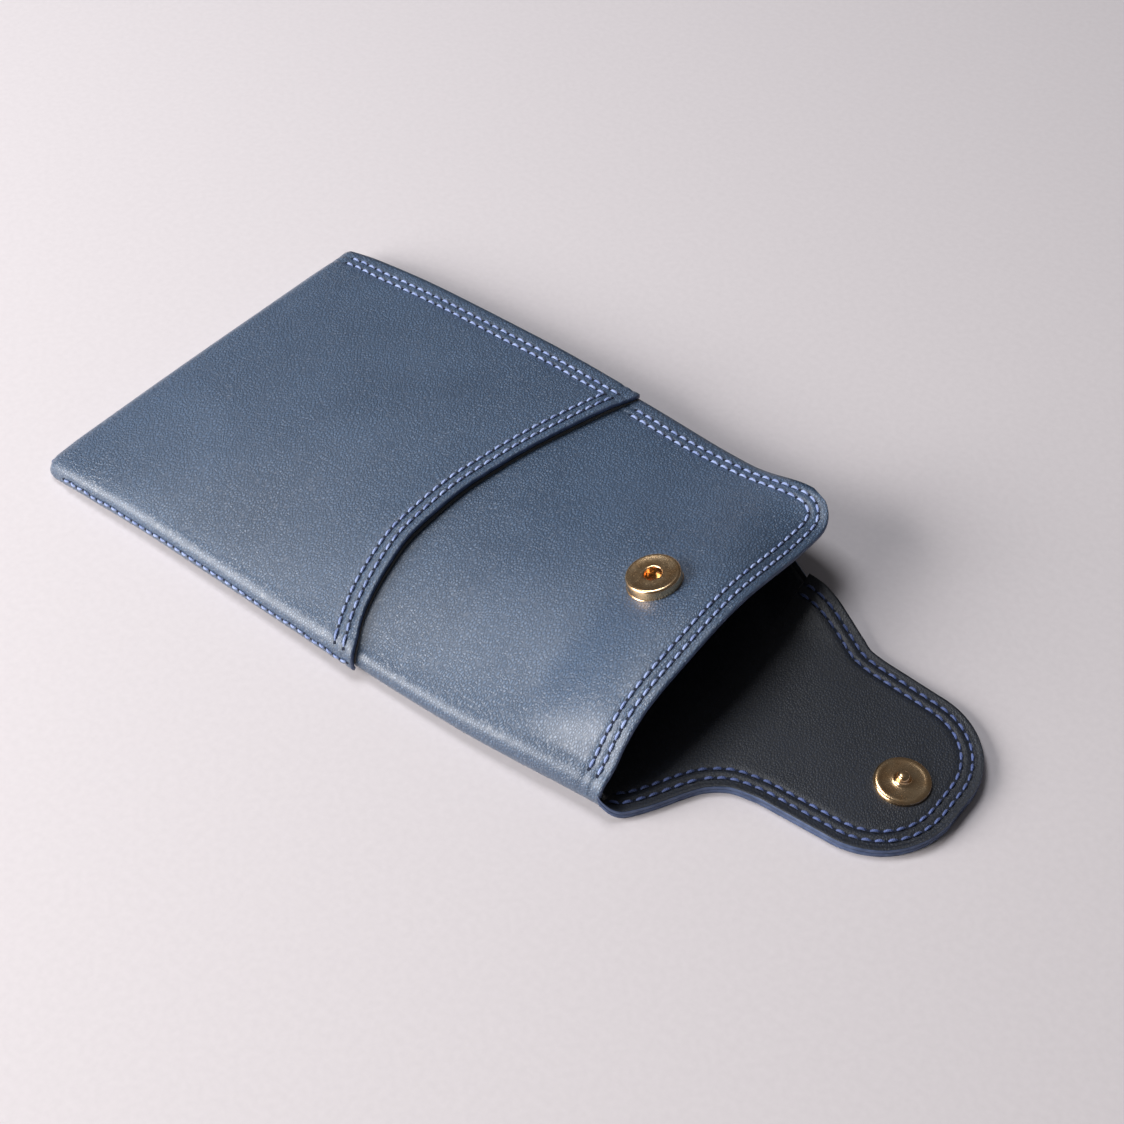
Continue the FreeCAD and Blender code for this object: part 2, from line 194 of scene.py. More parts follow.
def marks(start, end, coarse, fine_spots, fine=0.4):
    """Places from start to end, closer together inside each fine spot (low, high)."""
    places = list(np.linspace(start, end, max(2, int(round((end - start) / coarse)) + 1)))
    for low, high in fine_spots:
        low, high = max(low, start), min(high, end)
        if high > low:
            places = [p for p in places if not low < p < high or p in (start, end)]
            places += list(np.linspace(low, high, max(2, int(round((high - low) / fine)) + 1)))
    places = np.unique(np.round(places, 4))
    keep = [places[0]]
    for p in places[1:-1]:
        if p - keep[-1] > fine * 0.45 and places[-1] - p > fine * 0.45:
            keep.append(p)
    return np.array(keep + [places[-1]])


def waves(x, y, size=1.0):
    """Slow uneven rise and fall of soft leather, the same on every run."""
    return size * (0.42 * np.sin(x / 13.0 + 0.7 + y / 31.0) * np.sin(y / 17.0 + 1.1)
                   + 0.25 * np.sin(x / 7.3 - y / 11.0 + 2.0)
                   + 0.16 * np.sin(x / 4.6 + y / 6.1))


def groove(distance):
    """How far the leather is pulled in beside a row of stitches."""
    return -GROOVE_DEPTH * np.exp(-(distance / GROOVE_WIDTH) ** 2)


def nearest_row(inset):
    """The distance to the nearer of an edge's two rows, for a distance from that edge."""
    return np.minimum(np.abs(inset - ROWS[0]), np.abs(inset - ROWS[1]))


# ---------------------------------------------------------------- the pouch's surface
SECTION_X = np.arange(0.0, LENGTH + 0.01, 1.0)
HALF = 300                      # samples on the front and as many on the back


def section(x):
    """One closed cut across the pouch, from the back's sewn edge round the fold."""
    left, fold, crown, right, top, back_right, back_top = (
        float(smooth_line(ALONG, v, x))
        for v in (LEFT, FOLD, CROWN, RIGHT, RIGHT_TOP, BACK_RIGHT, BACK_TOP))
    start = left + fold
    y = np.linspace(back_right, start, 220)[:-1]
    lift = back_top * np.clip((y - back_right + BACK_MARGIN) / BACK_MARGIN, 0, 1) ** 2
    back = np.stack([y, lift], 1)
    turn = np.radians(np.linspace(-90, -270, 40))
    side = np.stack([start + fold * np.cos(turn), fold + fold * np.sin(turn)], 1)
    t = np.linspace(0, 1, 240)[1:]
    mean = (2 * fold + top) / 2
    high = 2 * fold + (top - 2 * fold) * t + (crown - mean) * np.sin(np.pi * t ** FULLNESS)
    share = ease((x - LIP_FROM) / (LENGTH - LIP_FROM))
    high = high + share * (smooth_line(LIP_ACROSS, LIP_HEIGHT, t) - high)
    front = np.stack([start + (right - start) * t, high], 1)
    return np.concatenate([back, side, front])


def softened(line, reach=2.2, step=0.4):
    """Rounds the corners of a cut, as thick leather does."""
    length = far_along(line)[-1]
    pts = at_distances(line, np.linspace(0, length, int(length / step) + 1))
    pad = int(4 * reach / step)
    before = 2 * pts[0] - pts[1:pad + 1][::-1]
    after = 2 * pts[-1] - pts[-pad - 1:-1][::-1]
    long = np.concatenate([before, pts, after])
    bell = np.exp(-(np.arange(-pad, pad + 1) * step / reach) ** 2)
    bell /= bell.sum()
    return np.stack([np.convolve(long[:, k], bell, mode="valid") for k in (0, 1)], 1)


def build_table():
    """The body's outer face as two grids, y and z, with the arcs of its two sides."""
    ys, zs, fronts, backs = [], [], [], []
    for x in SECTION_X:
        line = softened(section(x))
        far = far_along(line)
        middle = far[np.argmin(line[:, 0])]
        places = np.concatenate([np.linspace(0, middle, HALF + 1),
                                 np.linspace(middle, far[-1], HALF + 1)[1:]])
        y, z = at_distances(line, places).T
        ys.append(y)
        zs.append(z)
        backs.append(middle)
        fronts.append(far[-1] - middle)
    return np.array(ys), np.maximum(np.array(zs), 0.0), np.array(fronts), np.array(backs)


TABLE_Y, TABLE_Z, FRONT_ARC, BACK_ARC = build_table()
ROUND_LENGTH = EDGE_ROUND * math.pi / 2
V_SHIFT = ROUND_LENGTH - EDGE_ROUND - BODY_START      # v = x + V_SHIFT past the bottom edge
V_LIP = LENGTH + V_SHIFT


def front_arc(x):
    return np.interp(x, SECTION_X, FRONT_ARC)


def back_arc(x):
    return np.interp(x, SECTION_X, BACK_ARC)


def skin_point(v, u):
    """A point on the body's outer face: v along the pouch, u from -1 at the back's
    sewn edge through 0 at the fold to 1 at the front's sewn edge."""
    turn = np.clip(v / EDGE_ROUND, -1.2, math.pi / 2)
    x = np.where(v < ROUND_LENGTH,
                 BODY_START + EDGE_ROUND * (1 - np.cos(turn)), v - V_SHIFT)
    flat = np.where(v < ROUND_LENGTH, np.sin(turn), 1.0)
    gx = np.clip(x, 0, LENGTH - 1e-6)
    i = gx.astype(int)
    fx = gx - i
    gu = np.clip((u + 1) * HALF, 0, 2 * HALF - 1e-6)
    j = gu.astype(int)
    fu = gu - j
    grids = []
    for table in (TABLE_Y, TABLE_Z):
        near = table[i, j] * (1 - fu) + table[i, j + 1] * fu
        far = table[i + 1, j] * (1 - fu) + table[i + 1, j + 1] * fu
        grids.append(near * (1 - fx) + far * fx)
    y, z = grids
    close = np.clip((x - BODY_START) / CORNER, 0, 1)
    inset = CORNER * (1 - np.sqrt(1 - (1 - close) ** 2))
    middle = (RIGHT[0] + LEFT[0]) / 2
    y = middle + (y - middle) * (1 - inset * 2 / (RIGHT[0] - LEFT[0]))
    shut_at = CLOSED_AT + CLOSED_RISE * ease(y / 16) * ease((RIGHT[0] - y) / 16)
    z = shut_at + (z - shut_at) * flat
    to_fold = np.clip(1 - y / RIGHT[0], 0, 1.03)
    x = x - SKEW * to_fold ** SKEW_CURVE * ease((SKEW_ENDS - x) / SKEW_ENDS)
    return np.stack([x, y, z], -1)


def skin(v, u, out=0.0):
    """A point at a distance outside the body's outer face, with the face's direction."""
    v, u = np.broadcast_arrays(np.asarray(v, float), np.asarray(u, float))
    dv, du = 0.5, 0.006
    along = skin_point(v + dv, u) - skin_point(v - dv, u)
    across = skin_point(v, np.minimum(u + du, 1.0)) - skin_point(v, np.maximum(u - du, -1.0))
    out_dir = unit(np.cross(along, across))
    return skin_point(v, u) + out_dir * np.asarray(out, float)[..., None], out_dir


def on_front(x, s, out=0.0):
    return skin(x + V_SHIFT, s / front_arc(x), out)


def front_u_at(x, y):
    """The u of the front's point nearest to a given y."""
    v = np.full(400, x + V_SHIFT)
    u = np.linspace(0.0, 1.0, 400)
    return np.interp(y, skin_point(v, u)[:, 1], u)


# ---------------------------------------------------------------- mesh building
def new_object(name, points, faces, slots, materials, merge=2e-6, crisp=None):
    """A smooth mesh from points in metres.  Points nearer than merge become one, and
    edges that bend by more than the angle crisp stay sharp."""
    mesh = bpy.data.meshes.new(name)
    mesh.from_pydata([tuple(p) for p in points], [], faces)
    for mat in materials:
        mesh.materials.append(mat)
    mesh.polygons.foreach_set("material_index", np.array(slots, np.int32))
    mesh.polygons.foreach_set("use_smooth", np.full(len(faces), True))
    obj = bpy.data.objects.new(name, mesh)
    bpy.context.scene.collection.objects.link(obj)
    work = bmesh.new()
    work.from_mesh(mesh)
    bmesh.ops.remove_doubles(work, verts=work.verts, dist=merge)
    bmesh.ops.recalc_face_normals(work, faces=work.faces)
    if crisp:
        for edge in work.edges:
            edge.smooth = len(edge.link_faces) != 2 or edge.calc_face_angle(0.0) < crisp
    work.to_mesh(mesh)
    work.free()
    mesh.update()
    return obj


RIM_STEPS = 4


def sheet(name, outer, inner, materials, rims, bulge=0.2, rim_slot=2):
    """A sheet with real thickness.  outer and inner are grids of points; rims lists
    (side, first, last) with side one of v0 v1 u0 u1, each closed by a rounded edge."""
    rows, cols = outer.shape[:2]
    points = list(outer.reshape(-1, 3)) + list(inner.reshape(-1, 3))
    faces, slots = [], []
    half = rows * cols
    for i in range(rows - 1):
        for j in range(cols - 1):
            a = i * cols + j
            quad = (a, a + 1, a + cols + 1, a + cols)
            faces.append(quad)
            slots.append(0)
            faces.append(tuple(half + k for k in reversed(quad)))
            slots.append(1)
    for side, first, last in rims:
        span = range(first, last)
        if side[0] == "v":
            i, beside = (0, 1) if side[1] == "0" else (rows - 1, rows - 2)
            path = [(i, j, beside, j) for j in span]
        else:
            j, beside = (0, 1) if side[1] == "0" else (cols - 1, cols - 2)
            path = [(i, j, i, beside) for i in span]
        line = [[a * cols + b] for a, b, _, _ in path]
        edge = np.array([outer[a, b] for a, b, _, _ in path])
        under = np.array([inner[a, b] for a, b, _, _ in path])
        push = unit(edge - np.array([outer[c, d] for _, _, c, d in path]))
        far = np.minimum(np.arange(len(path)), np.arange(len(path))[::-1])
        size = bulge * np.clip(far / 2.0, 0, 1)[:, None]
        for k in range(1, RIM_STEPS):
            t = k / RIM_STEPS
            ring = edge + (under - edge) * t + push * size * math.sin(math.pi * t)
            for n, p in enumerate(ring):
                line[n].append(len(points))
                points.append(p)
        for n, (a, b, _, _) in enumerate(path):
            line[n].append(half + a * cols + b)
        for n in range(len(path) - 1):
            for k in range(RIM_STEPS):
                faces.append((line[n][k], line[n][k + 1], line[n + 1][k + 1], line[n + 1][k]))
                slots.append(rim_slot)
    return new_object(name, row(np.array(points)), faces, slots, materials)


def all_rims(rows, cols):
    return [("v0", 0, cols), ("v1", 0, cols), ("u0", 0, rows), ("u1", 0, rows)]


def along_path(path, pitch):
    """Evenly spaced points on a flat line, whole stitches from end to end."""
    length = far_along(path)[-1]
    count = max(1, int(round(length / pitch)))
    return at_distances(path, np.linspace(0, length, count + 1))


def moved_line(path, distance):
    """A flat line moved sideways, to its left for a positive distance."""
    way = unit(np.gradient(path, axis=0))
    return path + distance * np.stack([-way[:, 1], way[:, 0]], 1)


STITCH_STEPS = 7
STITCH_SIDES = 8


STITCH_COVER = 0.80             # share of the pitch that the thread shows for


def stitches(name, paths, put, materials, pitch=PITCH, thread=THREAD):
    """Separate stitches along flat paths.  put(points, height) gives places and the
    leather's direction there.  Each stitch dips into a needle hole at both its ends, drawn as a
    shallow dark disc of painted shade."""
    points, faces, slots = [], [], []
    radius = thread / 2
    for path in paths:
        holes = along_path(path, pitch)
        a, b = holes[:-1], holes[1:]
        count = len(a)
        t = np.linspace(0.5 - STITCH_COVER / 2, 0.5 + STITCH_COVER / 2, STITCH_STEPS)
        swell = np.sin(np.pi * np.linspace(0.06, 0.94, STITCH_STEPS)) ** 0.45
        lift = radius * (-0.5 + 1.25 * np.sin(np.pi * np.linspace(0.0, 1.0, STITCH_STEPS)) ** 0.6)
        flat = a[:, None, :] + (b - a)[:, None, :] * t[None, :, None]
        heights = np.broadcast_to(lift, (count, STITCH_STEPS))
        middle, up = put(flat.reshape(-1, 2), heights.reshape(-1))
        middle = middle.reshape(count, STITCH_STEPS, 3)
        up = up.reshape(count, STITCH_STEPS, 3)
        way = unit(np.gradient(middle, axis=1))
        side = unit(np.cross(up, way))
        for n in range(count):
            base = len(points)
            for k in range(STITCH_STEPS):
                r = radius * swell[k]
                for q in range(STITCH_SIDES):
                    ang = 2 * math.pi * q / STITCH_SIDES
                    points.append(middle[n, k] + side[n, k] * r * 1.05 * math.cos(ang)
                                  + up[n, k] * r * 0.9 * math.sin(ang))
            for k in range(STITCH_STEPS - 1):
                for q in range(STITCH_SIDES):
                    c = base + k * STITCH_SIDES
                    d = (q + 1) % STITCH_SIDES
                    faces.append((c + q, c + d, c + STITCH_SIDES + d, c + STITCH_SIDES + q))
                    slots.append(0)
            faces.append(tuple(base + q for q in range(STITCH_SIDES))[::-1])
            last = base + (STITCH_STEPS - 1) * STITCH_SIDES
            faces.append(tuple(last + q for q in range(STITCH_SIDES)))
            slots += [0, 0]
        # Needle holes: shallow dark discs at the stitches' ends, painted shade standing in for the
        # holes' depth.
        centre, up = put(holes, np.full(len(holes), 0.03))
        way = unit(np.gradient(centre, axis=0))
        side = unit(np.cross(up, way))
        for n in range(len(holes)):
            base = len(points)
            points.append(centre[n] - up[n] * 0.02)
            for q in range(STITCH_SIDES):
                ang = 2 * math.pi * q / STITCH_SIDES
                points.append(centre[n] + way[n] * HOLE * 1.15 * math.cos(ang)
                              + side[n] * HOLE * 0.85 * math.sin(ang))
            for q in range(STITCH_SIDES):
                faces.append((base, base + 1 + q, base + 1 + (q + 1) % STITCH_SIDES))
                slots.append(1)
    points = np.array(points)
    points[:, 2] = np.maximum(points[:, 2], TABLE_GAP)
    rows = new_object(name, row(points), faces, slots, materials)
    return rows


# ---------------------------------------------------------------- materials
def srgb(code):
    """A hex colour as linear values."""
    parts = [int(code[k:k + 2], 16) / 255 for k in (1, 3, 5)]
    lin = [c / 12.92 if c <= 0.04045 else ((c + 0.055) / 1.055) ** 2.4 for c in parts]
    return (*lin, 1.0)


def add(tree, kind, settings=None, **links):
    """Adds a node.  settings holds its properties and socket values, and a colour
    ramp's stops; links joins another node's output to one of this node's sockets, with
    _ for a space and in0 for a socket's number."""
    node = tree.nodes.new(kind)
    for key, value in (settings or {}).items():
        if key == "stops":
            while len(node.color_ramp.elements) < len(value):
                node.color_ramp.elements.new(0.5)
            for element, (place, colour) in zip(node.color_ramp.elements, value):
                element.position, element.color = place, srgb(colour)
        elif isinstance(key, int) or key in node.inputs:
            node.inputs[key].default_value = value
        else:
            setattr(node, key, value)
    for key, source in links.items():
        name = key.replace("_", " ")
        target = node.inputs[int(name[2:])] if name.startswith("in") else node.inputs[name]
        tree.links.new(source, target)
    return node


def material(name, **settings):
    """An empty material with one shader, whose fixed values are set on it."""
    mat = bpy.data.materials.new(name)
    mat.use_nodes = True
    tree = mat.node_tree
    shader = tree.nodes["Principled BSDF"]
    for key, value in settings.items():
        shader.inputs[key.replace("_", " ")].default_value = value
    return mat, tree, shader


def join(tree, shader, **sources):
    """Joins outputs to the shader's sockets, with _ for a space."""
    for key, source in sources.items():
        tree.links.new(source, shader.inputs[key.replace("_", " ")])


def leather(name, dark, base, light, grain_mm, relief_mm, roughness, coat=0.0):
    """Chrome-tanned cowhide with a printed pebble grain: rounded pebbles between fine
    creases, with painted light and shade on the grain (paler on the pebbles' tops, darker in the
    creases), and a soft waxy shine."""
    mat, tree, shader = material(name, Coat_Weight=coat, Coat_Roughness=0.42,
                                 Specular_IOR_Level=0.8, IOR=1.48)
    where = add(tree, "ShaderNodeTexCoord").outputs["Object"]
    pull = add(tree, "ShaderNodeTexNoise", {"Scale": 1 / (3.5 * grain_mm * MM), "Detail": 2.0},
               Vector=where)
    shift = add(tree, "ShaderNodeVectorMath", {"operation": "SUBTRACT", 1: (0.5, 0.5, 0.5)},
                in0=pull.outputs["Color"])
    drawn = add(tree, "ShaderNodeMapping", {"Scale": (1.3, 0.85, 1.0)}, Vector=where)
    bent = add(tree, "ShaderNodeVectorMath", {"operation": "MULTIPLY_ADD",
                                              1: (grain_mm * MM * 1.1,) * 3},
               in0=shift.outputs[0], in2=drawn.outputs[0])
    pebble = add(tree, "ShaderNodeTexVoronoi", {"feature": "SMOOTH_F1", "Smoothness": 0.45,
                                                "Scale": 1 / (grain_mm * MM)},
                 Vector=bent.outputs[0])
    crease = add(tree, "ShaderNodeTexVoronoi", {"feature": "DISTANCE_TO_EDGE",
                                                "Scale": 1 / (grain_mm * MM)},
                 Vector=bent.outputs[0])
    pore = add(tree, "ShaderNodeTexNoise", {"Scale": 1 / (0.22 * MM), "Detail": 3.0},
               Vector=where)
    cloud = add(tree, "ShaderNodeTexNoise", {"Scale": 1 / (22 * MM), "Detail": 3.0},
                Vector=where)
    edge = add(tree, "ShaderNodeMapRange", {"From Max": 0.22, "To Min": 0.0, "To Max": 1.0},
               Value=crease.outputs["Distance"])
    dome = add(tree, "ShaderNodeMath", {"operation": "MULTIPLY_ADD", 1: -0.8, 2: 1.0},
               in0=pebble.outputs["Distance"])
    height = add(tree, "ShaderNodeMath", {"operation": "MULTIPLY"},
                 in0=dome.outputs[0], in1=edge.outputs[0])
    fine = add(tree, "ShaderNodeMath", {"operation": "MULTIPLY_ADD", 1: 0.18},
               in0=pore.outputs["Fac"], in2=height.outputs[0])
    bump = add(tree, "ShaderNodeBump", {"Strength": 0.9, "Distance": relief_mm * MM},
               Height=fine.outputs[0])
    mottle = add(tree, "ShaderNodeMath", {"operation": "MULTIPLY", 1: 0.35},
                 in0=cloud.outputs["Fac"])
    # Painted light and shade: the colour follows the pebbles' height, paler on their tops and
    # darker down in the creases.
    tone = add(tree, "ShaderNodeMath", {"operation": "MULTIPLY_ADD", 1: 0.6},
               in0=height.outputs[0], in2=mottle.outputs[0])
    colour = add(tree, "ShaderNodeValToRGB", {"stops": [(0.12, dark), (0.5, base), (0.85, light)]},
                 Fac=tone.outputs[0])
    rough = add(tree, "ShaderNodeMapRange", {"From Min": 0.3, "From Max": 0.7,
                                             "To Min": roughness - 0.06,
                                             "To Max": roughness + 0.08},
                Value=cloud.outputs["Fac"])
    join(tree, shader, Base_Color=colour.outputs["Color"], Roughness=rough.outputs[0],
         Normal=bump.outputs[0])
    return mat


def painted_edge(name, dark, light):
    """Cut leather edge with rolled-on paint: smooth, a little uneven in thickness, with
    faint lines along the layers."""
    mat, tree, shader = material(name, IOR=1.5, Roughness=0.5)
    where = add(tree, "ShaderNodeTexCoord").outputs["Object"]
    blot = add(tree, "ShaderNodeTexNoise", {"Scale": 1 / (2.5 * MM), "Detail": 4.0}, Vector=where)
    fine = add(tree, "ShaderNodeTexNoise", {"Scale": 1 / (0.3 * MM), "Detail": 2.0}, Vector=where)
    bump = add(tree, "ShaderNodeBump", {"Strength": 0.5, "Distance": 0.06 * MM},
               Height=fine.outputs["Fac"])
    colour = add(tree, "ShaderNodeValToRGB", {"stops": [(0.35, dark), (0.65, light)]},
                 Fac=blot.outputs["Fac"])
    join(tree, shader, Base_Color=colour.outputs["Color"], Normal=bump.outputs[0])
    return mat


def lining_cloth(name, dark, light):
    """Woven microfibre with a brushed nap: nearly black, with a soft bloom at the edges.
    The weave is drawn at 0.5 mm, coarser than the real 0.2 mm, so that it shows."""
    mat, tree, shader = material(name, Sheen_Weight=0.5, Sheen_Roughness=0.6, Roughness=0.95,
                                 Specular_IOR_Level=0.2)
    where = add(tree, "ShaderNodeTexCoord").outputs["Object"]
    warp, weft = (add(tree, "ShaderNodeTexWave", {"Scale": 1 / (0.5 * MM) / math.tau * 3.1,
                                                  "bands_direction": way, "Distortion": 1.5},
                      Vector=where) for way in "XY")
    weave = add(tree, "ShaderNodeMath", {"operation": "MULTIPLY"},
                in0=warp.outputs["Fac"], in1=weft.outputs["Fac"])
    nap = add(tree, "ShaderNodeTexNoise", {"Scale": 1 / (1.2 * MM), "Detail": 5.0}, Vector=where)
    both = add(tree, "ShaderNodeMath", {"operation": "MULTIPLY_ADD", 1: 0.5},
               in0=weave.outputs[0], in2=nap.outputs["Fac"])
    bump = add(tree, "ShaderNodeBump", {"Strength": 0.6, "Distance": 0.1 * MM},
               Height=both.outputs[0])
    colour = add(tree, "ShaderNodeValToRGB", {"stops": [(0.3, dark), (0.9, light)]},
                 Fac=both.outputs[0])
    join(tree, shader, Base_Color=colour.outputs["Color"], Normal=bump.outputs[0])
    return mat


def waxed_thread(name, dark, light):
    """Twisted polyester sewing thread: pale, slightly shiny, with the twist's slanting
    shadow.  The twist is drawn at 0.45 mm so that it shows."""
    mat, tree, shader = material(name, Roughness=0.48, Sheen_Weight=0.3)
    where = add(tree, "ShaderNodeTexCoord").outputs["Object"]
    twist = add(tree, "ShaderNodeTexWave", {"Scale": 1 / (0.45 * MM) / math.tau * 3.1,
                                            "bands_direction": "DIAGONAL", "Distortion": 1.0},
                Vector=where)
    wear = add(tree, "ShaderNodeTexNoise", {"Scale": 1 / (4 * MM), "Detail": 2.0}, Vector=where)
    mixed = add(tree, "ShaderNodeMath", {"operation": "MULTIPLY_ADD", 1: 0.35},
                in0=twist.outputs["Fac"], in2=wear.outputs["Fac"])
    bump = add(tree, "ShaderNodeBump", {"Strength": 0.6, "Distance": 0.08 * MM},
               Height=twist.outputs["Fac"])
    colour = add(tree, "ShaderNodeValToRGB", {"stops": [(0.35, dark), (0.85, light)]},
                 Fac=mixed.outputs[0])
    join(tree, shader, Base_Color=colour.outputs["Color"], Normal=bump.outputs[0])
    return mat


def plated_metal(name, dark, light, roughness, brush_mm):
    """Stamped brass or steel with a thin electroplated finish, satin from barrel
    polishing: fine random scratches and a slightly uneven tone."""
    mat, tree, shader = material(name, Metallic=1.0)
    where = add(tree, "ShaderNodeTexCoord").outputs["Object"]
    scratch = add(tree, "ShaderNodeTexNoise", {"Scale": 1 / (brush_mm * MM), "Detail": 4.0},
                  Vector=where)
    patch = add(tree, "ShaderNodeTexNoise", {"Scale": 1 / (3 * MM), "Detail": 2.0}, Vector=where)
    colour = add(tree, "ShaderNodeValToRGB", {"stops": [(0.3, dark), (0.7, light)]},
                 Fac=patch.outputs["Fac"])
    rough = add(tree, "ShaderNodeMapRange", {"From Min": 0.3, "From Max": 0.7,
                                             "To Min": roughness - 0.05,
                                             "To Max": roughness + 0.08},
                Value=scratch.outputs["Fac"])
    bump = add(tree, "ShaderNodeBump", {"Strength": 0.25, "Distance": 0.02 * MM},
               Height=scratch.outputs["Fac"])
    join(tree, shader, Base_Color=colour.outputs["Color"], Roughness=rough.outputs[0],
         Normal=bump.outputs[0])
    return mat


PEBBLED = leather("pebbled_cowhide", "#32465F", "#435A76", "#526E8F", 0.82, 0.22, 0.42,
                  coat=1.0)
FACING = leather("smooth_facing_leather", "#080D16", "#0D1624", "#152236", 0.7, 0.05, 0.5,
                 coat=0.1)
FLESH = leather("flesh_side_leather", "#0A0F18", "#121A28", "#1A2434", 0.5, 0.05, 0.8)
EDGE = painted_edge("painted_leather_edge", "#3C4C6C", "#566689")
DARK_EDGE = painted_edge("dark_painted_edge", "#0F1420", "#1C2434")
LINING = lining_cloth("brushed_microfibre_lining", "#020203", "#0B0B0E")
THREAD_MAT = waxed_thread("waxed_polyester_thread", "#5A70AA", "#A6B8E4")
# A darker copy of the same thread, used for the flap's rows: painted shade.
DIM_THREAD = waxed_thread("shaded_polyester_thread", "#2E3F6C", "#5467A0")
HOLE_MAT, _, hole_shader = material("needle_hole_shadow", Roughness=0.9)
hole_shader.inputs["Base Color"].default_value = srgb("#141D31")
GOLD = plated_metal("satin_gold_plate", "#E2B684", "#F3D2A6", 0.2, 0.25)
STEEL = plated_metal("tumbled_steel_washer", "#7C7F84", "#A3A6AA", 0.4, 0.4)


def on_pouch(piece, nodes=()):
    """The piece belongs to the pouch; the CAD parts it replaces are hidden."""
    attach(piece, "pouch")
    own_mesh(piece)
    if nodes:
        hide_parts(*nodes)
    return piece


# ---------------------------------------------------------------- body
def lip_x(e):
    """How far the front reaches, by the distance from its sewn edge."""
    d = np.clip(LIP_CORNER - e, 0, LIP_CORNER)
    return LENGTH - LIP_CORNER + np.sqrt(LIP_CORNER ** 2 - d ** 2)


def side_inset(x):
    """How much further in the rows run where the sewn side bulges."""
    return 1.5 * ease(x / 22) * ease((148 - x) / 30)


def front_rows_distance(x, s):
    """Distance from the nearest of the two rows by the sewn edge and the lip."""
    e = front_arc(x) - s
    corner = (x > LENGTH - LIP_CORNER) & (e < LIP_CORNER)
    bent = LIP_CORNER - np.hypot(x - LENGTH + LIP_CORNER, e - LIP_CORNER)
    inset = np.where(corner, bent, np.minimum(e - side_inset(x), LENGTH - x))
    return nearest_row(inset)


def scoop_x_at(u):
    """The slip pocket's edge: x for each u on the front."""
    v = np.full(np.shape(u), SCOOP_LEVEL + V_SHIFT)
    y = skin_point(v, np.asarray(u, float))[..., 1]
    return smooth_line(SCOOP_Y, SCOOP_X, y)


def front_grid(v_places, u_places):
    """v and u grids whose last lines follow the lip and its round corner."""
    v, u = np.meshgrid(v_places, u_places, indexing="ij")
    e = (1 - u) * FRONT_ARC[-1]
    short = LENGTH - lip_x(np.where(u >= 0, e, 99.0))
    v = v - short * ease((v - V_LIP + 26) / 26)
    return v, u


SNAP_S = front_u_at(SNAP_X, SNAP_Y) * float(front_arc(SNAP_X))


def body_relief(v, u):
    """How far the leather stands off its plain surface: slow waves, the grooves under
    its rows, and the dimple under the snap."""
    x = v - V_SHIFT
    arc = front_arc(x)
    front = waves(x, u * arc, 0.30) * ease((x - 6) / 20) * ease((1 - u) * 14)
    sewn = groove(front_rows_distance(x, u * arc)) * (x > scoop_x_at(np.clip(u, 0, 1)))
    far = np.hypot(x - SNAP_X, u * arc - SNAP_S)
    sewn = sewn - SNAP_DIMPLE * np.exp(-(far / DIMPLE_RADIUS) ** 2)
    back_edge = nearest_row((1 + u) * back_arc(x))
    return np.where(u > 0, front + sewn, groove(back_edge) * (x < SEAM_END))


def front_spots():
    arc = FRONT_ARC[-1]
    return [((arc - r - 1.2) / arc, (arc - r + 1.2) / arc) for r in ROWS]


u_front = marks(0.0, 1.0, 0.0125, front_spots() + [(0.0, 0.07)], fine=0.0045)
u_back = -marks(0.0, 1.0, 0.0125, [(0.0, 0.07)] + front_spots(), fine=0.006)[::-1]
U_ALL = np.concatenate([u_back[:-1], u_front])
V_ALL = np.concatenate([np.linspace(0, ROUND_LENGTH, 9)[:-1],
                        marks(ROUND_LENGTH, V_LIP, 1.3,
                              [(V_LIP - 8.5, V_LIP)], fine=0.45)])
FIRST_FRONT = len(u_back) - 1

v_grid, u_grid = front_grid(V_ALL, U_ALL)
relief = body_relief(v_grid, u_grid)
skin_out = skin(v_grid, u_grid, relief)[0]
skin_in = skin(v_grid, u_grid, relief * 0.3 - LEATHER)[0]
skin_out[..., 2] = np.maximum(skin_out[..., 2], TABLE_GAP)
body = sheet("body_leather", skin_out, skin_in, [PEBBLED, FLESH, EDGE],
             [("v1", FIRST_FRONT, len(U_ALL)), ("u0", 0, len(V_ALL)), ("u1", 0, len(V_ALL))],
             bulge=0.18)
on_pouch(body,
         ("back_leather", "fold_leather", "bottom_edge", "front_leather", "mouth_leather",
          "front_stiffener", "back_stiffener", "mouth_stiffener"))

LINING_SET_BACK = 0.5           # behind the lip
LINING_INSET = 0.016            # from both sewn edges, as a share of each side's width
U_LINING = np.clip(U_ALL, -1 + LINING_INSET, 1 - LINING_INSET)
v_line, u_line = front_grid(V_ALL, U_LINING)
v_line = np.where(u_line > 0, v_line - LINING_SET_BACK * ease((v_line - 100) / 60), v_line)
lining_top = skin(v_line, u_line, -LEATHER - 0.02)[0]
lining_under = skin(v_line, u_line, -WALL)[0]
cloth = sheet("compartment_lining", lining_top, lining_under, [LINING, LINING, LINING],
              all_rims(len(V_ALL), len(U_ALL)), bulge=0.1)
on_pouch(cloth, ("front_lining", "back_lining", "fold_lining", "mouth_lining"))

# Strip that fills the sewn side between the front's and the back's edges.
STRIP_DEPTH = 5.0
STRIP_INSET = 0.35
STRIP_STEPS, STRIP_LEVELS = 110, 5
x_strip = np.linspace(3.6, SEAM_END, STRIP_STEPS)


def strip_edge(front, inset):
    arc = front_arc(x_strip) if front else back_arc(x_strip)
    u = 1 - (STRIP_INSET + inset) / arc
    return skin(x_strip + V_SHIFT, u if front else -u, -LEATHER + 0.05)[0]


def strip_face(inset):
    """The strip's face at a distance inside the sewn edge, from the back to the front."""
    low, high = strip_edge(False, inset), strip_edge(True, inset)
    return np.stack([low + (high - low) * t for t in np.linspace(0, 1, STRIP_LEVELS)], 1)


strip = sheet("side_seam_strip", strip_face(0), strip_face(STRIP_DEPTH),
              [DARK_EDGE, FLESH, FLESH], all_rims(STRIP_STEPS, STRIP_LEVELS), bulge=0.0)
on_pouch(strip, ("side_seam_strip",))

